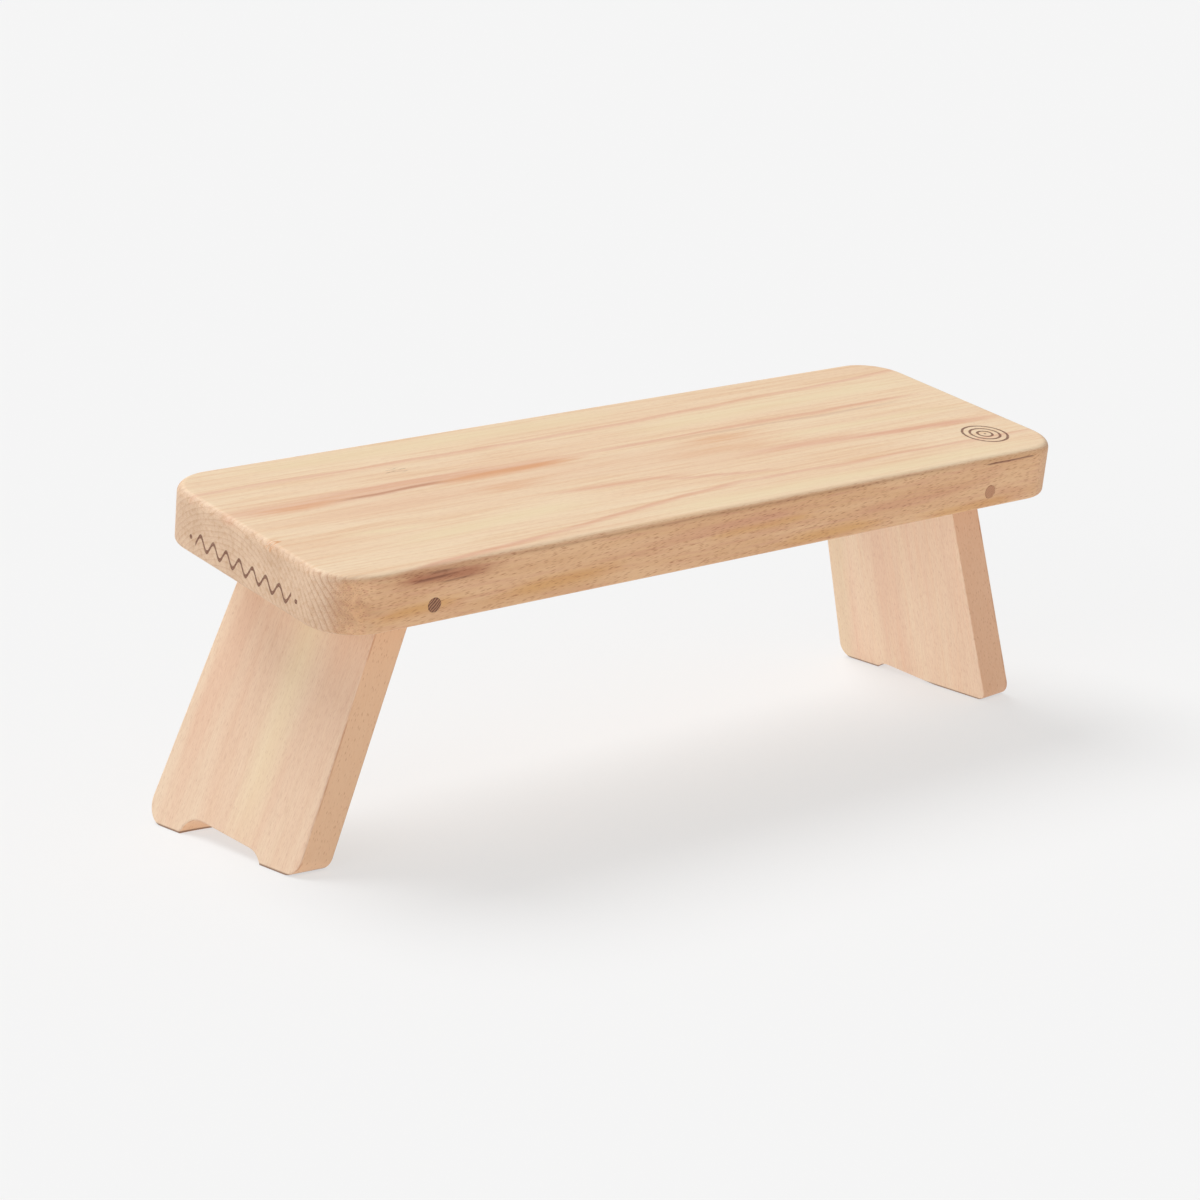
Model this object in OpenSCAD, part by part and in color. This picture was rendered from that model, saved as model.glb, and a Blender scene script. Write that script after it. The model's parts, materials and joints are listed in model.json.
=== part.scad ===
// Folding kneeling bench: a sloping seat board on two splayed board legs that fold flat into it.
// Part frame: +X along the seat, +Y to the back, +Z up, floor at z = 0.
// Seat frame: origin at the middle of the seat's underside, +Z square to the seat.
// Leg frame: origin on the pivot axis, +X out of the leg's outer face, +Z up the leg.

/* [Seat] */
// Length of the seat board
seat_l = 460; // [440:5:500]
// Depth of the seat board, front to back
seat_w = 150; // [148:1:165]
// Thickness of the seat board
seat_t = 28; // [27:0.5:32]
// Radius of the seat's corners, seen from above
seat_corner_r = 24; // [15:1:30]
// Roundover of the seat's top edge
seat_top_r = 4; // [2:0.5:5]
// Roundover of the seat's bottom edge
seat_bottom_r = 2; // [1:0.5:2.5]
// Forward slope of the seat, in degrees
seat_slope = 9.5; // [6:0.5:10]

/* [Legs] */
// Thickness of the leg boards
leg_t = 18; // [16:0.5:18]
// Width of a leg at its pivot
leg_w = 104; // [96:1:106]
// Lean of each long edge of a leg, in degrees
leg_flare = 3; // [1:0.5:3]
// Distance from pivot to floor down the middle of a leg
leg_reach = 150; // [140:1:152]
// Outward lean of an open leg, in degrees
leg_splay = 19.3; // [16:0.1:20]
// Radius of the lower corners of a leg
foot_corner_r = 10; // [6:1:12]
// Radius of the ends of the foot arch
arch_r = 14; // [10:1:16]
// Distance between the end centres of the foot arch
arch_span = 40; // [30:1:44]
// Height of the foot arch halfway through the leg
arch_h = 4.5; // [3:0.5:6]
// Shift of the foot arch towards the front
arch_shift = 2; // [0:0.5:4]
// Slope of the top of the foot arch, in degrees
arch_slope = 5; // [0:1:8]

/* [Pivots] */
// Distance of each pivot axis from the middle of the seat
pivot_x = 176; // [174:1:180]
// Diameter of a pivot pin
pin_d = 6; // [5:0.5:6]
// Length of a pivot pin
pin_l = 32.5; // [28:0.5:33]
// Diameter of a wood plug
plug_d = 7; // [6.5:0.5:10]
// Length of a wood plug
plug_l = 6; // [4:0.5:6]
// Outer diameter of a bush
bush_d = 9; // [8:0.5:10]
// Length of a bush below its flange
bush_l = 16; // [14:0.5:18]
// Diameter of a bush flange
flange_d = 12; // [11:0.5:14]
// Thickness of a bush flange
flange_t = 1.5; // [1.2:0.1:1.7]

/* [Clearances] */
// Gap between a folded leg and the pocket's ceiling and side walls
pocket_gap = 1; // [0.8:0.1:1.2]
// Gap between an open leg and the ceiling that stops it
stop_gap = 0.3; // [0.2:0.05:0.5]
// Gap between a bush flange and the pocket wall
flange_gap = 0.2; // [0.1:0.05:0.4]
// Radial gap between a pin and its bush
running_gap = 0.05; // [0.02:0.01:0.1]
// Gap between an open leg and the outer end of its pocket
end_gap = 0.8; // [0.5:0.1:1.2]
// Gap between a pin and the plug over it
plug_gap = 0.5; // [0.3:0.1:1]
// Radial room round a bush flange
flange_room = 0.2; // [0.1:0.05:0.3]

/* [Hidden] */
$fn = 96;
HULL_FN = 48;
ARC_STEPS = 12; // straight steps in each rounded corner of an outline
OVER = 1; // cutters run this far past a face
BIG = 2 * seat_l;

wood_seat = [0.92, 0.84, 0.70];
wood_leg = [0.91, 0.79, 0.68];
wood_plug = [0.37, 0.24, 0.18];
steel = [0.72, 0.72, 0.74];
nylon = [0.93, 0.92, 0.88];

pin_h = leg_t / 2;                                // pivot above the underside, so a leg folds flush
pocket_h = leg_t + pocket_gap;
ceiling = pocket_h - pin_h;                       // pocket ceiling above the pivot
crown_r = ceiling - stop_gap;                     // top end of a leg, round about the pivot
wall_y = leg_w / 2 + pocket_gap;                  // pocket wall beside the pivot
wall_x = (leg_t / 2) / cos(leg_splay) + pin_h * tan(leg_splay) + end_gap; // outer end of the pocket
pin_out = seat_w / 2 - plug_l - plug_gap;         // outer end of a pin
flange_in = wall_y - flange_gap - flange_t;       // inner face of a bush flange

// The floor meets each face of a leg along a line that falls to the back
foot_fall = tan(seat_slope) / cos(leg_splay);
foot_angle = atan(foot_fall);
foot_trim = 0.5;                                  // sawn off by the floor cut at the outer face
outer_reach = leg_reach + leg_t / 2 * tan(leg_splay) + foot_trim;

// Centre of a lower corner of the leg's outline: e is 1 at the back and -1 at the front
function corner_s(e) =
    let (inset_y = leg_w / 2 - foot_corner_r / cos(leg_flare),
         inset_s = outer_reach - foot_corner_r / cos(foot_angle))
    (inset_s + e * foot_fall * inset_y) / (1 - e * foot_fall * tan(leg_flare));
function corner_y(e) =
    e * (leg_w / 2 - foot_corner_r / cos(leg_flare) + corner_s(e) * tan(leg_flare));

// Points along an arc, ends included
function arc(centre, r, from, to) =
    [for (i = [0 : ARC_STEPS]) let (a = from + (to - from) * i / ARC_STEPS) centre + r * [cos(a), sin(a)]];

// Height of the seat frame, and the shift that centres the whole part front to back
seat_z = (leg_reach * cos(leg_splay) - pin_h) * cos(seat_slope);
seat_front = (seat_w / 2 - seat_top_r) * cos(seat_slope)
    + (seat_t - seat_top_r) * sin(seat_slope) + seat_top_r;
foot_lean = cos(leg_splay) * sin(seat_slope);
foot_back = corner_y(1) * cos(seat_slope) + corner_s(1) * foot_lean
    + foot_corner_r * norm([cos(seat_slope), foot_lean])
    - (pin_h - leg_t / 2 * sin(leg_splay)) * sin(seat_slope);
seat_y = (seat_front - foot_back) / 2;

// From the seat frame to the part frame
module in_seat() {
    translate([0, seat_y, seat_z]) rotate([seat_slope, 0, 0]) children();
}

// At one of the four pivots, +Z pointing out of the seat's edge
module at_pivot(side, end) {
    in_seat() translate([side * pivot_x, 0, pin_h]) rotate([-90 * end, 0, 0]) children();
}

// Leg outline in its own plane: first axis to the back, second up the leg, top end at height h.
// A growth g widens it all round, for the pocket that takes the folded leg.
module leg_outline(h, g) {
    half_top = leg_w / 2 + g / cos(leg_flare) - h * tan(leg_flare);
    polygon(concat(
        [[-half_top, h], [half_top, h]],
        arc([corner_y(1), -corner_s(1)], foot_corner_r + g, leg_flare, -90 - foot_angle),
        arc([corner_y(-1), -corner_s(-1)], foot_corner_r + g, -90 - foot_angle, -180 - leg_flare)));
}

// Arch sawn out of the foot, square to the leg's faces
module foot_arch() {
    arch_s = leg_reach - arch_shift * foot_fall - arch_h + arch_r;
    translate([-arch_shift, -arch_s]) rotate(-arch_slope) polygon(concat(
        arc([arch_span / 2, 0], arch_r, 90, -90),
        arc([-arch_span / 2, 0], arch_r, 270, 90)));
}

// Takes the inner top edge off a leg so that it turns below the pocket's ceiling
module crown_cut() {
    reach = 3 * crown_r;                          // well clear of the leg
    difference() {
        translate([-reach, -leg_w, -leg_t / 2 * sin(leg_splay)]) cube([reach, 2 * leg_w, reach]);
        rotate([90, 0, 0]) cylinder(r = crown_r, h = 2 * leg_w + 2 * OVER, center = true);
    }
    translate([-reach, -leg_w, crown_r]) cube([2 * reach, 2 * leg_w, reach]);
}

// Right leg with its pivot at the origin, leaning out as it stands
module standing_leg() {
    difference() {
        rotate([0, -leg_splay, 0]) translate([-leg_t / 2, 0, 0]) rotate([90, 0, 90])
            linear_extrude(leg_t) difference() {
                leg_outline(2 * crown_r, 0);
                foot_arch();
            }
        crown_cut();
        for (end = [-1, 1]) rotate([-90 * end, 0, 0]) {
            translate([0, 0, flange_in]) cylinder(r = flange_d / 2 + flange_room, h = leg_w);
            translate([0, 0, flange_in - bush_l]) cylinder(d = bush_d, h = leg_w);
        }
    }
}

module leg(side) {
    color(wood_leg) difference() {
        in_seat() scale([side, 1, 1]) translate([pivot_x, 0, pin_h]) standing_leg();
        translate([-BIG / 2, -BIG / 2, -BIG]) cube([BIG, BIG, BIG]);
    }
}

// Pocket for the folded right leg, open at the underside
module pocket() {
    translate([pivot_x, 0, -OVER]) linear_extrude(pocket_h + OVER) {
        mirror([1, -1]) leg_outline(0, pocket_gap);
        translate([-pin_d, -wall_y]) square([pin_d + wall_x, 2 * wall_y]);
    }
}

// One corner of the seat board: a disc with both edges rounded over
module seat_corner() {
    rotate_extrude($fn = HULL_FN) intersection() {
        union() {
            translate([0, seat_bottom_r])
                square([seat_corner_r, seat_t - seat_bottom_r - seat_top_r]);
            square([seat_corner_r - seat_top_r, seat_t]);
            translate([seat_corner_r - seat_bottom_r, seat_bottom_r])
                circle(r = seat_bottom_r, $fn = HULL_FN / 2);
            translate([seat_corner_r - seat_top_r, seat_t - seat_top_r])
                circle(r = seat_top_r, $fn = HULL_FN / 2);
        }
        square([seat_corner_r, seat_t]);
    }
}

module seat() {
    color(wood_seat) difference() {
        in_seat() difference() {
            hull() for (x = [-1, 1], y = [-1, 1])
                translate([x * (seat_l / 2 - seat_corner_r), y * (seat_w / 2 - seat_corner_r), 0])
                    seat_corner();
            pocket();
            mirror([1, 0, 0]) pocket();
        }
        for (side = [-1, 1], end = [-1, 1]) at_pivot(side, end) {
            translate([0, 0, wall_y - OVER]) cylinder(d = pin_d, h = seat_w / 2 - wall_y);
            translate([0, 0, seat_w / 2 - plug_l]) cylinder(d = plug_d, h = plug_l + OVER);
        }
    }
}

module pin(side, end) {
    color(steel) at_pivot(side, end) translate([0, 0, pin_out - pin_l]) cylinder(d = pin_d, h = pin_l);
}

module plug(side, end) {
    color(wood_plug) at_pivot(side, end)
        translate([0, 0, seat_w / 2 - plug_l]) cylinder(d = plug_d, h = plug_l);
}

module bush(side, end) {
    color(nylon) at_pivot(side, end) difference() {
        union() {
            translate([0, 0, flange_in - bush_l]) cylinder(d = bush_d, h = bush_l + flange_t);
            translate([0, 0, flange_in]) cylinder(d = flange_d, h = flange_t);
        }
        translate([0, 0, flange_in - bush_l - OVER])
            cylinder(r = pin_d / 2 + running_gap, h = bush_l + flange_t + 2 * OVER);
    }
}

seat();
leg(-1);  // left_leg
leg(1);  // right_leg
pin(-1, -1);  // left_front_pin
pin(-1, 1);  // left_back_pin
pin(1, -1);  // right_front_pin
pin(1, 1);  // right_back_pin
plug(-1, -1);  // left_front_plug
plug(-1, 1);  // left_back_plug
plug(1, -1);  // right_front_plug
plug(1, 1);  // right_back_plug
bush(-1, -1);  // left_front_bush
bush(-1, 1);  // left_back_bush
bush(1, -1);  // right_front_bush
bush(1, 1);  // right_back_bush
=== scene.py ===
"""Folding kneeling bench: beech seat board, two folding beech legs, dark plugs over the pivots.

All sizes are in metres. The seat frame has its origin midway between the two pivots, X along the
seat, Y to its back edge and Z square to it. A leg frame has its origin on the pivot, X out of the
leg's outer face and Z up the leg.
"""
import json
import math

import bmesh
import bpy
from mathutils import Matrix, Vector


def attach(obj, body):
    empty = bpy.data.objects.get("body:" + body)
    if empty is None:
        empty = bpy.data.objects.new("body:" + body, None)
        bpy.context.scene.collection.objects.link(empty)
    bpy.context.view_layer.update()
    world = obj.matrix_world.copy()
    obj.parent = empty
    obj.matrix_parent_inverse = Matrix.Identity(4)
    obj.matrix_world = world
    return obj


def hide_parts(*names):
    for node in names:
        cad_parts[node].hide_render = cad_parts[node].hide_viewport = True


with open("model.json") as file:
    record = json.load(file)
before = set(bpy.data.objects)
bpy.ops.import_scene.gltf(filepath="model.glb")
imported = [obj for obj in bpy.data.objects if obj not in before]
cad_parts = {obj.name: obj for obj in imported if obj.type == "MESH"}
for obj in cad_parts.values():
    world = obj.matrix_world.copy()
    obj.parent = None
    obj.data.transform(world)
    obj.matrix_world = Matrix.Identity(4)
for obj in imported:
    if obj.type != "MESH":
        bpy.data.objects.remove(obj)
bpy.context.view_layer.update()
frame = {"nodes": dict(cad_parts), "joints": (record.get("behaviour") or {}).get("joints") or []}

MM = 0.001

# Seat board
SEAT_CORNER_R = 24 * MM
SEAT_TOP_R = 4 * MM
SEAT_BOTTOM_R = 2 * MM

# Leg boards
LEG_HALF_W = 52 * MM  # at the pivot
LEG_FLARE = math.radians(3)
LEG_REACH = 150 * MM  # pivot to floor down the middle
CROWN_R = 9.7 * MM  # top end, round about the pivot
FOOT_R_OUTER = 11 * MM  # lower corners, on the outer and the inner face
FOOT_R_INNER = 7 * MM
ARCH_R = 14 * MM
ARCH_SPAN = 40 * MM
ARCH_H = 4.5 * MM
ARCH_SHIFT = 2 * MM
ARCH_SLOPE = math.radians(5)
EASE = 0.9 * MM  # sanded edge of a leg
LEG_SLICES = 12  # steps through the thickness, so that the round top end is smooth

# Pocket for a folded leg
POCKET_GAP = 1 * MM
POCKET_CORNER_R = 10 * MM
END_GAP = 0.8 * MM  # between an open leg and the outer end of its pocket
FOOT_TRIM = 0.5 * MM  # what the floor cut takes off a foot's outer face
CEILING = 10 * MM  # above the pivot
MOUTH_EASE = 0.8 * MM

# Pivots
PLUG_R = 3.5 * MM
PLUG_L = 6 * MM
PLUG_HAIR = 0.05 * MM  # gap round a plug
PLUG_ARRIS = 0.15 * MM
HOLE_ARRIS = 4 * PLUG_HAIR
PIN_R = 3 * MM
BUSH_R = 4.5 * MM
BUSH_L = 16 * MM
FLANGE_R = 6.2 * MM
FLANGE_IN = 51.3 * MM

ARC_STEPS = 10
HOLE_STEPS = 48
OVER = 1 * MM  # cutters run this far past a face

joints = {joint["name"]: joint for joint in frame["joints"]}
pivots = {side: Vector(joints[side + "_leg_fold"]["pos_m"]) for side in ("left", "right")}
SEAT_Y = Vector(joints["right_leg_fold"]["axis"]).normalized()
SEAT_X = Vector((1, 0, 0))
SEAT_Z = SEAT_X.cross(SEAT_Y)
SLOPE = math.asin(SEAT_Y.z)
SPLAY = math.radians(joints["right_leg_fold"]["range_deg"][1] - 90)
PIVOT_X = pivots["right"].x
SIDES = {"left": -1, "right": 1}
ENDS = {"front": -1, "back": 1}


def axes_matrix(x_axis, y_axis, z_axis, origin):
    """The matrix that takes a frame with these axes and this origin to the part's frame."""
    matrix = Matrix((x_axis, y_axis, z_axis)).transposed().to_4x4()
    matrix.translation = origin
    return matrix


def leg_frame(side):
    """A leg's frame, with X on its outer side at the right leg and on its inner side at the left."""
    lean = SIDES[side] * SPLAY
    across = SEAT_X * math.cos(lean) + SEAT_Z * math.sin(lean)
    return axes_matrix(across, SEAT_Y, across.cross(SEAT_Y), pivots[side])


SEAT_FRAME = axes_matrix(SEAT_X, SEAT_Y, SEAT_Z, (pivots["left"] + pivots["right"]) / 2)
LEG_FRAMES = {side: leg_frame(side) for side in SIDES}


def local_box(node, matrix):
    """Lowest and highest corner of a CAD node in another frame."""
    inverse = matrix.inverted()
    points = [inverse @ v.co for v in frame["nodes"][node].data.vertices]
    low = Vector(min(p[i] for p in points) for i in range(3))
    high = Vector(max(p[i] for p in points) for i in range(3))
    return low, high


seat_low, seat_high = local_box("seat", SEAT_FRAME)
SEAT_HALF_L = seat_high.x
SEAT_HALF_W = seat_high.y
UNDERSIDE = seat_low.z
TOP = seat_high.z
HALF_T = -UNDERSIDE  # half a leg's thickness: a folded leg lies flush with the underside

# ---------------------------------------------------------------- meshes


def arc(centre, radius, start, end, steps=ARC_STEPS):
    """Points of a plane arc, ends included; angles in radians."""
    turn = [start + (end - start) * i / steps for i in range(steps + 1)]
    return [Vector((centre[0] + radius * math.cos(a), centre[1] + radius * math.sin(a))) for a in turn]


def quarter(radius, steps=5):
    """(height, inset) pairs up a rounded edge: from the flat face to the full outline."""
    turn = [math.pi / 2 * i / steps for i in range(steps + 1)]
    return [(radius * (1 - math.cos(a)), radius * (1 - math.sin(a))) for a in turn]


def loft(name, rings):
    """A closed solid through rings of equal length, capped at both ends."""
    bm = bmesh.new()
    loops = [[bm.verts.new(p) for p in ring] for ring in rings]
    count = len(loops[0])
    for lower, upper in zip(loops, loops[1:]):
        for i in range(count):
            j = (i + 1) % count
            bm.faces.new((lower[i], lower[j], upper[j], upper[i]))
    bm.faces.new(loops[0][::-1])
    bm.faces.new(loops[-1])
    bmesh.ops.recalc_face_normals(bm, faces=bm.faces)
    mesh = bpy.data.meshes.new(name)
    bm.to_mesh(mesh)
    bm.free()
    obj = bpy.data.objects.new(name, mesh)
    bpy.context.scene.collection.objects.link(obj)
    return obj


def turned(name, profile, axis_matrix, steps=HOLE_STEPS):
    """A round solid about Z from (radius, height) pairs, placed by a matrix."""
    rings = []
    for radius, height in profile:
        ring = arc((0, 0), radius, 0, math.tau * (1 - 1 / steps), steps - 1)
        rings.append([axis_matrix @ Vector((p.x, p.y, height)) for p in ring])
    return loft(name, rings)


def cut(obj, cutters):
    """Takes each cutter out of obj and deletes the cutters."""
    for cutter in cutters:
        boolean = obj.modifiers.new("cut", "BOOLEAN")
        boolean.object = cutter
        boolean.solver = "EXACT"
    evaluated = obj.evaluated_get(bpy.context.evaluated_depsgraph_get())
    mesh = bpy.data.meshes.new_from_object(evaluated)
    obj.modifiers.clear()
    obj.data = mesh
    for cutter in cutters:
        bpy.data.objects.remove(cutter)


def settle(obj, matrix, angle=30):
    """Moves a mesh into the part's frame, shaded smooth with its creases kept sharp."""
    obj.data.transform(matrix)
    obj.data.shade_smooth()
    obj.data.set_sharp_from_angle(angle=math.radians(angle))
    weighted = obj.modifiers.new("weighted normals", "WEIGHTED_NORMAL")
    weighted.keep_sharp = True


# Leg outline in the leg's plane: first axis to the back, second up the leg

FOOT_FALL = math.tan(SLOPE) / math.cos(SPLAY)
FOOT_ANGLE = math.atan(FOOT_FALL)


def half_width(down, inset=0.0):
    """Half the leg's width at a distance down from the pivot."""
    return LEG_HALF_W + down * math.tan(LEG_FLARE) - inset / math.cos(LEG_FLARE)


def foot_corner(end, reach, radius, inset):
    """Centre of a lower corner of an outline whose bottom edge crosses the middle at reach."""
    side = half_width(0, inset + radius)
    base = reach - (inset + radius) / math.cos(FOOT_ANGLE)
    down = (base + end * FOOT_FALL * side) / (1 - end * FOOT_FALL * math.tan(LEG_FLARE))
    return end * (side + down * math.tan(LEG_FLARE)), -down


def board_outline(top, reach, radius, inset):
    """Closed outline of a leg board, with its top edge at height top."""
    back = foot_corner(1, reach, radius, inset)
    front = foot_corner(-1, reach, radius, inset)
    floor_turn = -math.pi / 2 - FOOT_ANGLE
    corner = half_width(-top, inset)
    return (
        [Vector((-corner, top)), Vector((corner, top))]
        + arc(back, radius, LEG_FLARE, floor_turn)
        + arc(front, radius, floor_turn, -math.pi - LEG_FLARE)
    )


def crown_height(u):
    """Top of a leg at a distance u out from its middle plane: round inside, level outside."""
    if u < CROWN_R * math.sin(SPLAY):
        return math.sqrt(CROWN_R**2 - u**2)
    return (CROWN_R - u * math.sin(SPLAY)) / math.cos(SPLAY)


def leg_ring(u, inset):
    """Outline of the leg at u, pulled in by the inset of its sanded edge."""
    blend = (u + HALF_T) / (2 * HALF_T)
    radius = FOOT_R_INNER + (FOOT_R_OUTER - FOOT_R_INNER) * blend - inset
    reach = LEG_REACH + u * math.tan(SPLAY)
    outline = board_outline(crown_height(u) - inset, reach, radius, inset)
    return [Vector((u, p.x, p.y)) for p in outline]


def arch_cutter(name):
    """The foot arch, square to the leg's faces, opening out at both faces by the sanded edge."""
    centre_down = LEG_REACH - ARCH_SHIFT * FOOT_FALL - ARCH_H + ARCH_R
    turn = Matrix.Rotation(-ARCH_SLOPE, 2)
    steps = quarter(EASE)
    levels = [(-HALF_T - OVER, EASE)] + [(-HALF_T + h, inset) for h, inset in steps]
    levels += [(-u, grow) for u, grow in reversed(levels)]
    rings = []
    for u, grow in levels:
        ends = arc((ARCH_SPAN / 2, 0), ARCH_R + grow, math.pi / 2, -math.pi / 2, 2 * ARC_STEPS)
        ends += arc((-ARCH_SPAN / 2, 0), ARCH_R + grow, 1.5 * math.pi, math.pi / 2, 2 * ARC_STEPS)
        plane = [turn @ p + Vector((-ARCH_SHIFT, -centre_down)) for p in ends]
        rings.append([Vector((u, p.x, p.y)) for p in plane])
    return loft(name, rings)


def bush_cutter(name, end):
    """The stepped hole for a bush in one long edge of a leg."""
    outward = Matrix.Rotation(-end * math.pi / 2, 4, "X")
    clear = 1.2 * LEG_HALF_W  # past the leg's edge
    step = [(BUSH_R, FLANGE_IN - BUSH_L), (BUSH_R, FLANGE_IN), (FLANGE_R, FLANGE_IN), (FLANGE_R, clear)]
    return turned(name, step, outward)


def make_leg(side):
    """One leg board, standing open."""
    levels = [(-HALF_T + h, inset) for h, inset in quarter(EASE)]
    inner = levels[-1][0]
    between = [(inner - 2 * inner * i / LEG_SLICES, 0.0) for i in range(1, LEG_SLICES)]
    levels += between + [(-u, inset) for u, inset in reversed(levels)]
    leg = loft(side + "_leg_board", [leg_ring(u, inset) for u, inset in levels])
    cut(leg, [arch_cutter("arch"), bush_cutter("front_hole", -1), bush_cutter("back_hole", 1)])
    if SIDES[side] < 0:
        leg.data.transform(Matrix.Scale(-1, 4, (1, 0, 0)))
        leg.data.flip_normals()
    settle(leg, LEG_FRAMES[side])
    return leg


def pocket_cutter(name, sign):
    """The pocket in the underside that takes one folded leg."""
    wall = HALF_T / math.cos(SPLAY) + HALF_T * math.tan(SPLAY) + END_GAP
    reach = LEG_REACH + HALF_T * math.tan(SPLAY) + FOOT_TRIM
    mouth = [
        (UNDERSIDE - OVER, MOUTH_EASE), (UNDERSIDE, MOUTH_EASE),
        (UNDERSIDE + MOUTH_EASE, 0.0), (CEILING, 0.0)]
    rings = []
    for z, grow in mouth:
        gap = POCKET_GAP + grow
        outline = board_outline(0.0, reach, POCKET_CORNER_R + gap, -gap)
        half = LEG_HALF_W + gap
        end = wall + grow
        outline[0:2] = [Vector(p) for p in ((-half, 0), (-half, end), (half, end), (half, 0))]
        rings.append([Vector((sign * (PIVOT_X + p.y), p.x, z)) for p in outline])
    return loft(name, rings)


def pivot_matrix(sign, end):
    """At a pivot in the seat frame, Z pointing out of the seat's edge."""
    return Matrix.Translation((sign * PIVOT_X, 0, 0)) @ Matrix.Rotation(-end * math.pi / 2, 4, "X")


def make_seat():
    """The seat board with its rounded edges, pockets and stepped plug holes."""
    rings = []
    levels = [(UNDERSIDE + h, inset) for h, inset in quarter(SEAT_BOTTOM_R)]
    levels += [(TOP - h, inset) for h, inset in reversed(quarter(SEAT_TOP_R, 8))]
    for z, inset in levels:
        ring = []
        for quadrant, (sx, sy) in enumerate(((1, 1), (-1, 1), (-1, -1), (1, -1))):
            centre = (sx * (SEAT_HALF_L - SEAT_CORNER_R), sy * (SEAT_HALF_W - SEAT_CORNER_R))
            start = quadrant * math.pi / 2
            ring += arc(centre, SEAT_CORNER_R - inset, start, start + math.pi / 2, 16)
        rings.append([Vector((p.x, p.y, z)) for p in ring])
    seat = loft("seat_board", rings)
    cutters = [pocket_cutter(side + "_pocket", sign) for side, sign in SIDES.items()]
    edge = SEAT_HALF_W
    hole = [
        (PIN_R, LEG_HALF_W), (PIN_R, edge - PLUG_L), (PLUG_R + PLUG_HAIR, edge - PLUG_L),
        (PLUG_R + PLUG_HAIR, edge - HOLE_ARRIS), (PLUG_R + HOLE_ARRIS, edge),
        (PLUG_R + HOLE_ARRIS, edge + OVER)]
    for sign in SIDES.values():
        for end in ENDS.values():
            cutters.append(turned("hole", hole, pivot_matrix(sign, end)))
    cut(seat, cutters)
    settle(seat, SEAT_FRAME)
    return seat


def make_plug(side, end):
    """A plug sanded flush, with a hairline arris."""
    edge = SEAT_HALF_W
    profile = [(PLUG_R, edge - PLUG_L), (PLUG_R, edge - PLUG_ARRIS), (PLUG_R - PLUG_ARRIS, edge)]
    plug = turned(f"{side}_{end}_plug_cap", profile, pivot_matrix(SIDES[side], ENDS[end]))
    settle(plug, SEAT_FRAME)
    return plug


# ---------------------------------------------------------------- materials


def linear(red, green, blue):
    """A colour given in the usual 0 to 255, as a shader wants it."""
    parts = [c / 255 for c in (red, green, blue)]
    parts = [c / 12.92 if c <= 0.04045 else ((c + 0.055) / 1.055) ** 2.4 for c in parts]
    return (*parts, 1.0)


class Graph:
    """Adds nodes to a tree. An argument is a plain value or another node's output."""

    def __init__(self, tree):
        self.tree = tree

    def node(self, kind, inputs, **settings):
        node = self.tree.nodes.new(kind)
        for key, value in settings.items():
            setattr(node, key, value)
        for key, value in inputs.items():
            if isinstance(value, bpy.types.NodeSocket):
                self.tree.links.new(value, node.inputs[key])
            else:
                node.inputs[key].default_value = value
        return node

    def math(self, operation, *values):
        return self.node("ShaderNodeMath", dict(enumerate(values)), operation=operation).outputs[0]

    def moved(self, vector, shift):
        return self.node("ShaderNodeVectorMath", {0: vector, 1: shift}, operation="ADD").outputs[0]

    def ramp(self, value, start, end, low=0.0, high=1.0):
        """Smoothly from low at start to high at end; start may be above end."""
        if isinstance(start, float) and isinstance(end, float) and start > end:
            start, end, low, high = end, start, high, low
        inputs = {"Value": value, "From Min": start, "From Max": end, "To Min": low, "To Max": high}
        return self.node("ShaderNodeMapRange", inputs, interpolation_type="SMOOTHSTEP").outputs[0]

    def vector(self, x, y, z):
        return self.node("ShaderNodeCombineXYZ", {0: x, 1: y, 2: z}).outputs[0]

    def stretch(self, vector, x, y, z):
        """Coordinates counted in cells of x by y by z millimetres."""
        inputs = {"Vector": vector, "Scale": (1 / x, 1 / y, 1 / z)}
        return self.node("ShaderNodeMapping", inputs).outputs[0]

    def noise(self, vector, cells, detail=2.0):
        inputs = {"Vector": self.stretch(vector, *cells), "Scale": 1.0, "Detail": detail}
        return self.node("ShaderNodeTexNoise", inputs).outputs["Fac"]

    def mix(self, factor, first, second, blend="MIX"):
        node = self.node("ShaderNodeMix", {}, data_type="RGBA", blend_type=blend)
        for key, value in ((0, factor), (6, first), (7, second)):
            if isinstance(value, bpy.types.NodeSocket):
                self.tree.links.new(value, node.inputs[key])
            else:
                node.inputs[key].default_value = value
        return node.outputs[2]

    def facing(self, direction):
        """How squarely a surface faces a direction of the part's frame, from -1 to 1."""
        normal = self.node("ShaderNodeTexCoord", {}).outputs["Normal"]
        inputs = {0: normal, 1: direction}
        return self.node("ShaderNodeVectorMath", inputs, operation="DOT_PRODUCT").outputs["Value"]

    def board(self, matrix):
        """Millimetres in a board's own frame."""
        origin = matrix.translation
        place = self.node("ShaderNodeTexCoord", {}).outputs["Object"]
        turn = matrix.to_euler()
        inputs = {"Vector": place, "Location": origin, "Rotation": turn, "Scale": (MM, MM, MM)}
        return self.node("ShaderNodeMapping", inputs, vector_type="TEXTURE").outputs[0]


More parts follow.
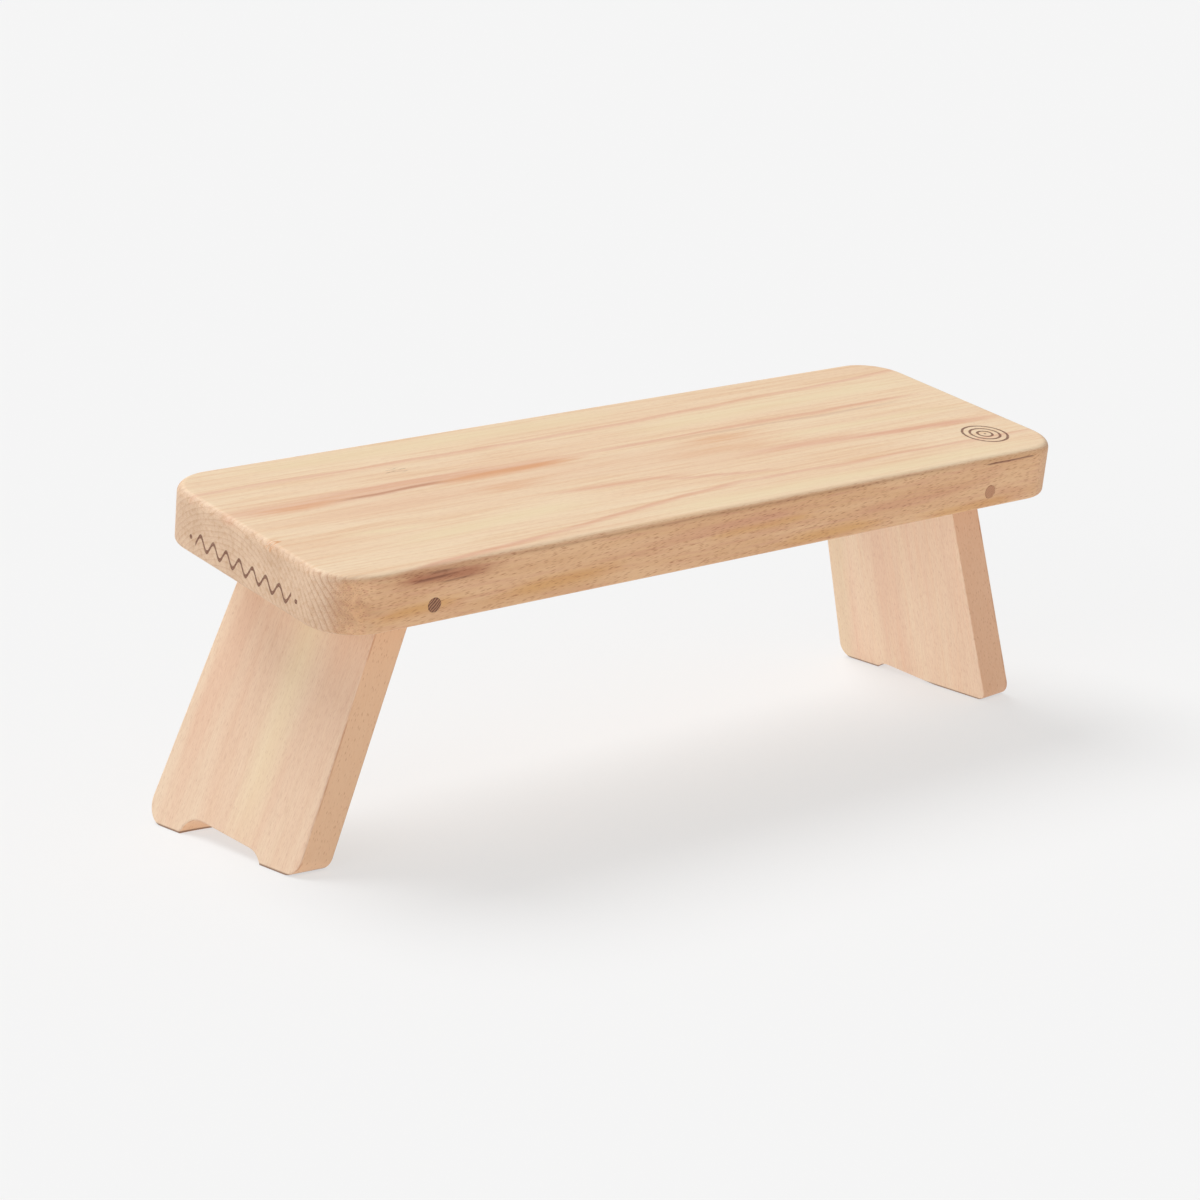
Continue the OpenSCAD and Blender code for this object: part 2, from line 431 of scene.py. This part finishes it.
def streak_group():
    """A band of colour along the grain, with its own softness on its upper and lower side."""
    tree = bpy.data.node_groups.new("streak", "ShaderNodeTree")
    for name in ("along", "across", "x0", "y0", "x1", "y1", "upper", "lower", "fade"):
        tree.interface.new_socket(name, in_out="INPUT", socket_type="NodeSocketFloat")
    tree.interface.new_socket("mask", in_out="OUTPUT", socket_type="NodeSocketFloat")
    g = Graph(tree)
    given = tree.nodes.new("NodeGroupInput").outputs
    run = g.math("SUBTRACT", given["x1"], given["x0"])
    share = g.math("DIVIDE", g.math("SUBTRACT", given["along"], given["x0"]), run)
    rise = g.math("SUBTRACT", given["y1"], given["y0"])
    middle = g.math("MULTIPLY_ADD", share, rise, given["y0"])
    off = g.math("SUBTRACT", given["across"], middle)
    above = g.ramp(g.math("DIVIDE", off, given["upper"]), 1.0, 0.0)
    below = g.ramp(g.math("DIVIDE", off, given["lower"]), -1.0, 0.0)
    faded = g.math("DIVIDE", given["fade"], run)
    start = g.ramp(g.math("DIVIDE", share, faded), 0.0, 1.0)
    stop = g.ramp(g.math("DIVIDE", g.math("SUBTRACT", 1.0, share), faded), 0.0, 1.0)
    sides = g.math("MULTIPLY", above, below)
    mask = g.math("MULTIPLY", sides, g.math("MULTIPLY", start, stop))
    g.node("NodeGroupOutput", {"mask": mask})
    return tree


STREAK = streak_group()


def add_streaks(g, colour, along, across, where, streaks):
    """Lays bands over a colour. Each is a tint, a strength, its two ends and its softness."""
    for tint, strength, x0, y0, x1, y1, upper, lower, fade in streaks:
        inputs = {"along": along, "across": across, "x0": x0, "y0": y0, "x1": x1, "y1": y1}
        inputs |= {"upper": upper, "lower": lower, "fade": fade}
        node = g.tree.nodes.new("ShaderNodeGroup")
        node.node_tree = STREAK
        for key, value in inputs.items():
            if isinstance(value, bpy.types.NodeSocket):
                g.tree.links.new(value, node.inputs[key])
            else:
                node.inputs[key].default_value = value
        mask = g.math("MULTIPLY", g.math("MULTIPLY", node.outputs[0], where), strength)
        colour = g.mix(mask, colour, tint)
    return colour


def new_material(name):
    material = bpy.data.materials.new(name)
    material.use_nodes = True
    material.node_tree.nodes.clear()
    return material, Graph(material.node_tree)


def finish_material(g, colour, roughness, height, depth, **sockets):
    """Colour, roughness and relief onto one shader; depth is the relief in millimetres."""
    bump = g.node("ShaderNodeBump", {"Height": height, "Distance": depth * MM, "Strength": 1.0})
    inputs = {"Base Color": colour, "Roughness": roughness, "Normal": bump.outputs[0]}
    shader = g.node("ShaderNodeBsdfPrincipled", inputs | sockets)
    g.node("ShaderNodeOutputMaterial", {"Surface": shader.outputs[0]})


def dashes(g, grain, cells, low, high):
    """Short spindles along the grain, one to a cell, of mixed darkness."""
    inputs = {"Vector": g.stretch(grain, *cells), "Scale": 1.0, "Randomness": 1.0}
    cell = g.node("ShaderNodeTexVoronoi", inputs)
    spindle = g.ramp(cell.outputs["Distance"], high, low)
    shade = g.node("ShaderNodeSeparateColor", {0: cell.outputs["Color"]}).outputs[0]
    return g.math("MULTIPLY", spindle, shade)


LATE_WOOD = linear(186, 116, 78)
FIBRE_DARK = linear(196, 140, 104)


def wood(g, grain, pale, deep, rings, ring_show, vein_show, fibre_show):
    """Beech: drifting tone, growth rings and fibres. Grain runs along X.

    Returns colour, roughness and height. rings is the growth rings' field, one ring to each
    whole number; the shows are how dark the rings, veins and fibres are.
    """
    drift = g.noise(grain, (170, 16, 16), 3.0)
    colour = g.mix(g.ramp(drift, 0.3, 0.7), pale, deep)
    vein = g.ramp(g.noise(grain, (75, 2.4, 2.4), 3.0), 0.42, 0.72)
    colour = g.mix(g.math("MULTIPLY", vein, vein_show), colour, deep, "MULTIPLY")
    wander = g.noise(grain, (140, 40, 40), 2.0)
    turn = g.math("FRACT", g.math("MULTIPLY_ADD", wander, 2.0, rings))
    late = g.math("MULTIPLY", g.math("POWER", turn, 4.0), g.ramp(turn, 1.0, 0.93))
    colour = g.mix(g.math("MULTIPLY", late, ring_show), colour, LATE_WOOD, "MULTIPLY")
    fibre = g.noise(grain, (26, 0.5, 0.5), 3.0)
    hair = g.ramp(g.noise(grain, (4.6, 0.5, 0.5), 1.0), 0.5, 0.64)
    dark = g.math("MAXIMUM", g.ramp(fibre, 0.3, 0.75, 0.0, 0.6), hair)
    colour = g.mix(g.math("MULTIPLY", dark, fibre_show), colour, FIBRE_DARK, "MULTIPLY")
    height = g.math("MULTIPLY_ADD", late, -0.3, g.math("SUBTRACT", fibre, g.math("MULTIPLY", hair, 0.4)))
    roughness = g.ramp(fibre, 0.2, 0.8, 0.54, 0.66)
    return colour, roughness, height


PINK = linear(216, 150, 122)
PURPLE = linear(176, 106, 72)
ORANGE = linear(216, 146, 92)
BROWN = linear(120, 70, 46)
YELLOW = linear(224, 166, 92)
CREAM = linear(236, 218, 178)

# tint, strength, x0, y0, x1, y1, upper, lower, fade; along and across the top, in millimetres
TOP_STREAKS = (
    (PINK, 0.16, -225, 0.0, 90, -6.0, 26.0, 26.0, 70),
    (CREAM, 0.55, -215, 62.0, 60, 62.0, 12.0, 12.0, 60),
    (CREAM, 0.55, 0, 34.0, 240, 40.0, 13.0, 12.0, 60),
    (CREAM, 0.60, -190, -45.0, -40, -36.0, 9.0, 9.0, 50),
    (CREAM, 0.50, -205, -26.0, -140, -30.0, 6.0, 6.0, 30),
    (CREAM, 0.50, 70, -3.0, 230, -5.0, 6.0, 6.0, 50),
    (CREAM, 0.55, -60, -64.0, 230, -64.0, 11.0, 11.0, 60),
    (PINK, 0.42, -250, 47.0, -30, 45.0, 1.6, 4.5, 30),
    (PINK, 0.40, -60, 45.0, 110, 50.0, 1.6, 4.5, 30),
    (PINK, 0.42, 80, 49.0, 250, 56.0, 1.6, 4.0, 30),
    (PINK, 0.38, -250, 16.0, -10, 16.0, 9.0, 9.0, 40),
    (PURPLE, 0.62, -182, 13.6, -88, 13.2, 1.6, 3.4, 30),
    (ORANGE, 0.50, -222, 13.5, -158, 12.5, 5.0, 6.0, 30),
    (ORANGE, 0.72, -122, 13.0, -20, 13.0, 5.0, 8.0, 35),
    (PINK, 0.42, -200, 22.5, -60, 20.5, 2.6, 5.0, 60),
    (ORANGE, 0.36, -118, -4.0, -50, -8.0, 8.0, 8.0, 35),
    (PINK, 0.48, -40, 17.5, 225, 20.5, 1.8, 4.2, 50),
    (PURPLE, 0.26, 10, 14.5, 215, 15.0, 1.2, 3.0, 50),
    (ORANGE, 0.42, 20, 8.0, 100, 7.0, 6.0, 8.0, 40),
    (ORANGE, 0.28, -10, -6.0, 110, -9.0, 8.0, 7.0, 50),
    (PINK, 0.50, 30, -16.0, 150, -17.5, 6.5, 7.0, 60),
    (PINK, 0.62, 85, -18.0, 245, -26.5, 4.0, 5.0, 60),
    (PINK, 0.45, -85, -22.0, 25, -28.0, 4.0, 3.5, 40),
    (PINK, 0.45, -20, -26.0, 72, -43.0, 2.2, 4.6, 35),
    (PINK, 0.50, -205, -76.0, -80, -61.0, 2.0, 4.4, 30),
    (PINK, 0.50, -105, -64.0, 40, -44.0, 2.0, 4.6, 30),
    (PINK, 0.42, 15, -46.5, 245, -49.5, 1.8, 4.4, 40),
    (ORANGE, 0.85, -229, -20.0, -223, -19.0, 5.0, 5.0, 2),
    (BROWN, 0.60, -121.8, 36.0, -119.2, 36.0, 5.0, 5.0, 1),
    # painted shade: darker along the front roundover at the left end
    (BROWN, 0.30, -250, -74.0, -200, -77.0, 9.0, 9.0, 20),
)
# the same along and up the front edge, up being measured from the pivots
FRONT_STREAKS = (
    (PURPLE, 0.80, -210, 15.0, -134, 12.5, 6.0, 6.0, 26),
    (BROWN, 0.70, -194, 12.8, -158, 14.4, 0.7, 1.5, 12),
    (BROWN, 0.50, -178, 10.4, -150, 11.6, 0.5, 1.1, 10),
    (BROWN, 0.55, -182, 16.0, -158, 16.5, 0.8, 1.6, 10),
    (BROWN, 0.80, 166, 15.4, 208, 15.8, 0.5, 1.0, 5),
    # painted shade: a thin darker line along the top roundover of the front edge
    (BROWN, 0.20, -150, 17.0, 160, 17.5, 0.8, 1.0, 40),
    (YELLOW, 0.60, -215, -2.0, -150, 2.0, 4.0, 5.0, 25),
    (YELLOW, 0.55, -150, -2.0, -60, 1.0, 6.0, 6.0, 35),
    (YELLOW, 0.60, 20, -5.0, 110, -3.0, 5.0, 5.0, 30),
    (YELLOW, 0.50, 120, -7.0, 200, -5.0, 4.0, 5.0, 25),
    (YELLOW, 0.45, -20, 6.0, 60, 8.0, 3.0, 4.0, 25),
    (PINK, 0.40, -60, 9.0, 60, 11.0, 4.0, 5.0, 40),
    (PINK, 0.35, 60, 3.0, 170, 5.0, 4.0, 5.0, 40),
    (BROWN, 0.30, -250, 2.0, -200, 2.0, 24.0, 24.0, 26),
)

SEAT_PALE = linear(241, 217, 184)
SEAT_DEEP = linear(237, 206, 172)
# the long edges' redder tone; it goes on the front edge more fully than on the back, where it partly
# paints the front's shade
EDGE_PALE = linear(240, 194, 148)
EDGE_DEEP = linear(231, 181, 133)
END_PALE = linear(231, 202, 172)
END_DEEP = linear(221, 190, 159)
FLECK = linear(176, 108, 70)
FLECK_TILT = 0.12  # radians that the seat's flecks lean off the grain
FLECK_SHIFT = (31, 17, 7)  # keeps its two layers of flecks apart
SEAT_PITH = 42.0  # the pith lies this far under the pivots
SEAT_RING = 2.7
BURN = linear(118, 70, 48)
RIPPLE = (197.7, -45.7)  # centre of the burned rings on the top
RIPPLE_GAP = 4.0
RIPPLE_RINGS = 3
WAVE_SPAN = 44.0
WAVE_HEIGHT = -0.2
WAVE_LENGTH = 11.0
WAVE_SWING = 2.9


def line_mask(g, distance, half_width):
    """1 on a line and 0 away from it, with a soft edge."""
    away = g.math("ABSOLUTE", distance)
    return g.ramp(away, half_width + 0.15, half_width - 0.15)


def ripple_mark(g, x, y, near_top):
    """Burned rings, one inside another, round a dot."""
    dx = g.math("SUBTRACT", x, RIPPLE[0])
    dy = g.math("SUBTRACT", y, RIPPLE[1])
    radius = g.math("SQRT", g.math("ADD", g.math("MULTIPLY", dx, dx), g.math("MULTIPLY", dy, dy)))
    nearest = g.math("PINGPONG", g.math("ADD", radius, RIPPLE_GAP), RIPPLE_GAP / 2)
    rings = g.ramp(nearest, 0.5, 0.85, 1.0, 0.0)
    inside = g.ramp(radius, RIPPLE_GAP * (RIPPLE_RINGS + 0.5), RIPPLE_GAP * (RIPPLE_RINGS + 0.4))
    return g.math("MULTIPLY", g.math("MULTIPLY", rings, inside), near_top)


def wave_mark(g, x, y, z):
    """A burned wave line along the left end, with a dot at each end of it."""
    swing = g.math("MULTIPLY", g.math("SINE", g.math("MULTIPLY", y, math.tau / WAVE_LENGTH)), WAVE_SWING)
    off = g.math("SUBTRACT", g.math("SUBTRACT", z, WAVE_HEIGHT), swing)
    line = line_mask(g, off, 1.0)
    span = g.ramp(g.math("ABSOLUTE", y), WAVE_SPAN - 4.0, WAVE_SPAN - 4.2)
    out = g.math("SUBTRACT", g.math("ABSOLUTE", y), WAVE_SPAN)
    up = g.math("SUBTRACT", z, WAVE_HEIGHT)
    dot = g.math("SQRT", g.math("ADD", g.math("MULTIPLY", out, out), g.math("MULTIPLY", up, up)))
    dots = g.ramp(dot, 1.25, 0.95)
    mark = g.math("MAXIMUM", g.math("MULTIPLY", line, span), dots)
    at_end = g.ramp(x, -SEAT_HALF_L / MM + 6.0, -SEAT_HALF_L / MM + 5.0)
    return g.math("MULTIPLY", mark, at_end)


def ring_field(g, across, deep, spacing):
    """Growth rings about a pith that lies along the grain."""
    square = g.math("MULTIPLY", across, across)
    return g.math("DIVIDE", g.math("SQRT", g.math("MULTIPLY_ADD", deep, deep, square)), spacing)


def seat_wood():
    """The seat board, with its streaks, flecks and burned marks, and painted shade along the front
    roundover and the front edge.
    """
    material, g = new_material("seat_beech")
    place = g.board(SEAT_FRAME)
    x, y, z = g.node("ShaderNodeSeparateXYZ", {0: place}).outputs
    shift = g.math("MULTIPLY_ADD", g.noise(place, (80, 40, 40), 2.0), 7.0, -3.5)
    flutter = g.math("MULTIPLY_ADD", g.noise(place, (30, 1.6, 4), 3.0), 3.0, -1.5)
    across = g.math("ADD", g.math("ADD", y, shift), flutter)
    along = g.math("MULTIPLY_ADD", flutter, 12.0, x)
    near_top = g.ramp(z, TOP / MM - 5.0, TOP / MM - 1.5)
    end_grain = g.ramp(g.math("ABSOLUTE", g.facing(SEAT_X)), 0.15, 0.75)
    long_edge = g.ramp(g.math("ABSOLUTE", g.facing(SEAT_Y)), 0.35, 0.9)
    front = g.ramp(g.facing(-SEAT_Y), 0.25, 0.8)

    rings = ring_field(g, g.math("MULTIPLY_ADD", x, 0.05, y), g.math("ADD", z, SEAT_PITH), SEAT_RING)
    pale = g.mix(end_grain, SEAT_PALE, END_PALE)
    deep = g.mix(end_grain, SEAT_DEEP, END_DEEP)
    at_corner = g.ramp(y, -42.0, -68.0, 0.24, 0.62)
    ring_show = g.math("MULTIPLY_ADD", end_grain, at_corner, 0.05)
    fibre_show = g.math("MULTIPLY_ADD", long_edge, 0.5, 0.14)
    colour, roughness, height = wood(g, place, pale, deep, rings, ring_show, 0.36, fibre_show)
    colour = add_streaks(g, colour, along, across, near_top, TOP_STREAKS)
    edge_tone = g.mix(g.ramp(g.noise(place, (70, 8, 8), 3.0), 0.35, 0.65), EDGE_PALE, EDGE_DEEP)
    blush = g.ramp(g.noise(place, (24, 1.2, 1.4), 3.0), 0.4, 0.75, 0.0, 0.45)
    edge_tone = g.mix(blush, edge_tone, PINK)
    # partly painted shade: the edge tone goes on the front edge more fully than on the back edge
    share = g.math("MULTIPLY_ADD", front, 0.52, 0.4)
    colour = g.mix(g.math("MULTIPLY", long_edge, share), colour, edge_tone)
    up = g.math("ADD", z, g.math("MULTIPLY", flutter, 0.6))
    colour = add_streaks(g, colour, along, up, front, FRONT_STREAKS)

    tilt = {0: place, "Angle": FLECK_TILT}
    slanted = g.node("ShaderNodeVectorRotate", tilt, rotation_type="Y_AXIS").outputs[0]
    fine = dashes(g, slanted, (4.6, 0.6, 0.6), 0.1, 0.45)
    coarse = dashes(g, g.moved(slanted, FLECK_SHIFT), (7.5, 0.8, 0.8), 0.08, 0.34)
    flecks = g.math("MAXIMUM", fine, coarse)
    fleck_share = g.math("MULTIPLY_ADD", long_edge, 0.62, 0.06)
    colour = g.mix(g.math("MULTIPLY", flecks, fleck_share), colour, FLECK, "MULTIPLY")
    pores = dashes(g, place, (1.2, 0.5, 0.5), 0.2, 0.5)
    colour = g.mix(g.math("MULTIPLY", g.math("MULTIPLY", pores, end_grain), 0.3), colour, BROWN)

    burn = g.math("MAXIMUM", ripple_mark(g, x, y, near_top), wave_mark(g, x, y, z))
    mottle = g.ramp(g.noise(place, (1.6, 0.7, 0.7), 2.0), 0.3, 0.7, 0.72, 1.0)
    colour = g.mix(g.math("MULTIPLY", burn, mottle), colour, BURN)
    height = g.math("SUBTRACT", height, g.math("MULTIPLY", flecks, 0.6))
    height = g.math("SUBTRACT", height, g.math("MULTIPLY", burn, 4.0))
    finish_material(g, colour, roughness, height, 0.05)
    return material


# pale, deep and edge tone of each leg; painted light: the right leg's pale and deep tones are lighter
# than the left's to make up for the shade on its inner face
LEG_TONES_AND_PAINTED_LIGHT = {
    "left": (linear(236, 212, 184), linear(232, 201, 173), linear(243, 196, 155)),
    "right": (linear(255, 230, 200), linear(253, 222, 193), linear(229, 178, 140)),
}
# end-grain brown, also used to paint the contact shadow along the bottom edge of each foot
FOOT_END_GRAIN_AND_CONTACT_SHADE = linear(116, 76, 54)
LEG_PITH = 90.0  # the pith lies this far off a leg's middle plane
LEG_PITH_SHIFT = 30.0
LEG_RING = 7.0
LEG_GRAIN_SHIFT = 400.0  # gives each leg its own stretch of grain
# bands of tone up each leg and across it, as on the seat
LEG_STREAKS = {
    "left": (
        (CREAM, 0.42, -165, -22.0, 15, -8.0, 18.0, 16.0, 60),
        (PINK, 0.14, -165, 36.0, 15, 32.0, 16.0, 14.0, 60),
    ),
    "right": (
        (CREAM, 0.34, -175, 46.0, 30, 38.0, 22.0, 10.0, 20),
        (PINK, 0.10, -175, 2.0, 30, 6.0, 30.0, 26.0, 40),
    ),
}


def leg_wood(side):
    """A leg board: pinkish, straight grained up the leg, with fine flecks, painted shade on its
    front-facing edges and a painted contact shadow at the foot.
    """
    pale, deep, edge_tone = LEG_TONES_AND_PAINTED_LIGHT[side]
    material, g = new_material(side + "_leg_beech")
    place = g.board(LEG_FRAMES[side])
    x, y, z = g.node("ShaderNodeSeparateXYZ", {0: place}).outputs
    grain = g.vector(g.math("ADD", z, LEG_GRAIN_SHIFT * SIDES[side]), y, x)
    lean = g.math("MULTIPLY_ADD", z, 0.06, y)
    shifted = g.math("ADD", lean, LEG_PITH_SHIFT * SIDES[side])
    rings = ring_field(g, shifted, g.math("ADD", x, LEG_PITH), LEG_RING)
    flat = HALF_T / MM
    edge = g.ramp(g.math("ABSOLUTE", x), flat - 0.2, flat - 0.9)
    fibre_show = g.math("MULTIPLY_ADD", edge, 0.25, 0.22)
    colour, roughness, height = wood(g, grain, pale, deep, rings, 0.05, 0.12, fibre_show)
    blush = g.ramp(g.noise(grain, (150, 18, 18), 2.0), 0.35, 0.75, 0.0, 0.14)
    colour = g.mix(blush, colour, PINK)
    on_board = g.math("SUBTRACT", 1.0, edge)
    colour = add_streaks(g, colour, z, lean, on_board, LEG_STREAKS[side])
    # partly painted shade: the edge tone goes on front-facing edges more fully than on back-facing ones
    front = g.ramp(g.facing(-SEAT_Y), 0.3, 0.8, 0.35, 0.85)
    colour = g.mix(g.math("MULTIPLY", edge, front), colour, edge_tone)
    flecks = dashes(g, grain, (3.2, 0.8, 0.8), 0.1, 0.36)
    share = g.math("MULTIPLY_ADD", edge, 0.22, 0.24)
    colour = g.mix(g.math("MULTIPLY", flecks, share), colour, FLECK, "MULTIPLY")
    standing = g.node("ShaderNodeTexCoord", {}).outputs["Object"]
    floor_gap = g.node("ShaderNodeSeparateXYZ", {0: standing}).outputs[2]
    outer = g.math("MULTIPLY", x, float(SIDES[side]))
    arris = g.math("MULTIPLY", edge, g.ramp(outer, flat - 1.6, flat - 1.0))
    broken = g.ramp(g.noise(grain, (14, 3, 3), 3.0), 0.42, 0.62, 0.0, 0.4)
    colour = g.mix(g.math("MULTIPLY", arris, broken), colour, FLECK, "MULTIPLY")
    # painted contact shadow: within 1.5 mm of the floor the foot darkens, faintly on the sole as darker
    # end grain and most on its sanded bottom edge
    low = g.ramp(floor_gap, 1.5 * MM, 0.6 * MM)
    rim = g.ramp(floor_gap, 0.05 * MM, 0.3 * MM, 0.3, 0.85)
    colour = g.mix(g.math("MULTIPLY", low, rim), colour, FOOT_END_GRAIN_AND_CONTACT_SHADE)
    height = g.math("SUBTRACT", height, g.math("MULTIPLY", flecks, 0.5))
    finish_material(g, colour, roughness, height, 0.04)
    return material


PLUG_DARK = linear(104, 60, 38)
PLUG_LIGHT = linear(206, 150, 112)


def plug_wood():
    """Dark end grain with slanting stripes and open pores."""
    material, g = new_material("plug_hardwood")
    place = g.board(SEAT_FRAME)
    x, y, z = g.node("ShaderNodeSeparateXYZ", {0: place}).outputs
    slant = g.math("SUBTRACT", x, z)
    ripple = g.math("MULTIPLY_ADD", g.noise(place, (3, 3, 3), 2.0), 2.5, slant)
    bands = g.ramp(g.math("PINGPONG", ripple, 0.9), 0.15, 0.75)
    lighter = g.ramp(x, -50.0, 50.0, 0.0, 0.8)
    dark = g.mix(lighter, PLUG_DARK, PLUG_LIGHT)
    colour = g.mix(g.math("MULTIPLY", bands, 0.75), dark, PLUG_LIGHT)
    pores = dashes(g, place, (0.45, 0.45, 0.45), 0.15, 0.45)
    colour = g.mix(g.math("MULTIPLY", pores, 0.6), colour, BURN)
    height = g.math("SUBTRACT", bands, pores)
    finish_material(g, colour, g.ramp(bands, 0.0, 1.0, 0.5, 0.62), height, 0.03)
    return material


def pin_steel():
    """Plain steel rod with turning lines round it."""
    material, g = new_material("pin_steel")
    place = g.board(SEAT_FRAME)
    lines = g.noise(place, (40, 0.12, 40), 3.0)
    smear = g.noise(place, (3, 5, 3), 3.0)
    colour = g.mix(smear, linear(176, 177, 180), linear(206, 206, 208))
    roughness = g.ramp(g.math("ADD", lines, smear), 0.6, 1.4, 0.24, 0.42)
    finish_material(g, colour, roughness, lines, 0.01, Metallic=1.0)
    return material


def bush_nylon():
    """Natural nylon: creamy, slightly waxy, with faint moulding grain."""
    material, g = new_material("bush_nylon")
    place = g.board(SEAT_FRAME)
    cloud = g.noise(place, (6, 6, 6), 3.0)
    skin = g.noise(place, (0.4, 0.4, 0.4), 2.0)
    colour = g.mix(cloud, linear(232, 227, 212), linear(221, 214, 196))
    roughness = g.ramp(skin, 0.3, 0.7, 0.36, 0.5)
    finish_material(g, colour, roughness, skin, 0.01)
    return material


def floor_paper(glow, tone):
    """Studio paper: mostly its own brightness, with the shadow as a soft tint."""
    material, g = new_material("studio_paper")
    fibre = g.noise(g.node("ShaderNodeTexCoord", {}).outputs["Object"], (0.004, 0.004, 0.004), 2.0)
    colour = g.mix(fibre, (tone, tone, tone, 1), (tone * 0.998, tone * 0.998, tone * 0.998, 1))
    paper = g.node("ShaderNodeBsdfDiffuse", {"Color": colour})
    light = g.node("ShaderNodeEmission", {"Color": WHITE, "Strength": glow})
    both = g.node("ShaderNodeAddShader", {0: paper.outputs[0], 1: light.outputs[0]})
    g.node("ShaderNodeOutputMaterial", {"Surface": both.outputs[0]})
    return material


def dress(obj, material):
    """Gives an object one material."""
    if obj.data.materials:
        obj.data.materials[0] = material
    else:
        obj.data.materials.append(material)


# ---------------------------------------------------------------- scene

seat = make_seat()
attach(seat, "seat")
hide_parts("seat")
dress(seat, seat_wood())

for side in SIDES:
    leg = make_leg(side)
    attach(leg, side + "_leg")
    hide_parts(side + "_leg")
    dress(leg, leg_wood(side))

plug_material = plug_wood()
steel = pin_steel()
nylon = bush_nylon()
for side in SIDES:
    for end in ENDS:
        dress(frame["nodes"][f"{side}_{end}_pin"], steel)
        dress(frame["nodes"][f"{side}_{end}_bush"], nylon)
        plug = make_plug(side, end)
        dress(plug, plug_material)
        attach(plug, "seat")
        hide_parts(f"{side}_{end}_plug")

# Camera: a long lens, a little to the left and above
AIM = Vector((-0.0151, 0.0054, 0.0864))
AZIMUTH, ELEVATION, ROLL = (math.radians(a) for a in (-38.545, 14.350, -0.729))
DISTANCE = 1.6389
LENS = 98.2
SENSOR = 36

# Floor and lights
AMBIENT = 0.45
FLOOR_GLOW = 0.58
FLOOR_TONE = 0.31
FLOOR_HALF = 40.0
WHITE = (1, 1, 1, 1)


def make_camera():
    """Looks at AIM from AZIMUTH round the bench and ELEVATION above it."""
    back = Vector((
        math.sin(AZIMUTH) * math.cos(ELEVATION),
        -math.cos(AZIMUTH) * math.cos(ELEVATION),
        math.sin(ELEVATION)))
    right = Vector((0, 0, 1)).cross(back).normalized()
    camera = bpy.data.objects.new("camera", bpy.data.cameras.new("camera"))
    bpy.context.scene.collection.objects.link(camera)
    camera.data.lens = LENS
    camera.data.sensor_width = SENSOR
    place = axes_matrix(right, back.cross(right), back, AIM + back * DISTANCE)
    camera.matrix_world = place @ Matrix.Rotation(ROLL, 4, "Z")
    return camera


def lamp(name, toward, strength, spread):
    """A sun whose light comes from a direction; spread is its angular size in degrees."""
    data = bpy.data.lights.new(name, "SUN")
    data.energy = strength
    data.angle = math.radians(spread)
    obj = bpy.data.objects.new(name, data)
    bpy.context.scene.collection.objects.link(obj)
    obj.rotation_mode = "QUATERNION"
    obj.rotation_quaternion = Vector(toward).to_track_quat("Z", "Y")


def make_world():
    """Even white light from all round."""
    world = bpy.data.worlds.new("studio")
    world.use_nodes = True
    sky = world.node_tree.nodes["Background"]
    sky.inputs["Color"].default_value = WHITE
    sky.inputs["Strength"].default_value = AMBIENT
    return world


def make_floor():
    """A wide level sheet of studio paper under the feet."""
    signs = ((-1, -1), (1, -1), (1, 1), (-1, 1))
    corners = [(x * FLOOR_HALF, y * FLOOR_HALF, 0) for x, y in signs]
    mesh = bpy.data.meshes.new("floor")
    mesh.from_pydata(corners, [], [(0, 1, 2, 3)])
    floor = bpy.data.objects.new("floor", mesh)
    bpy.context.scene.collection.objects.link(floor)
    return floor


bpy.context.scene.camera = make_camera()
lamp("key", (-0.12, 0.58, 1.0), 2.1, 38)
lamp("side", (-1.0, -0.3, 0.02), 1.42, 60)
bpy.context.scene.world = make_world()
floor = make_floor()
dress(floor, floor_paper(FLOOR_GLOW, FLOOR_TONE))
bpy.context.scene.view_settings.view_transform = "Standard"
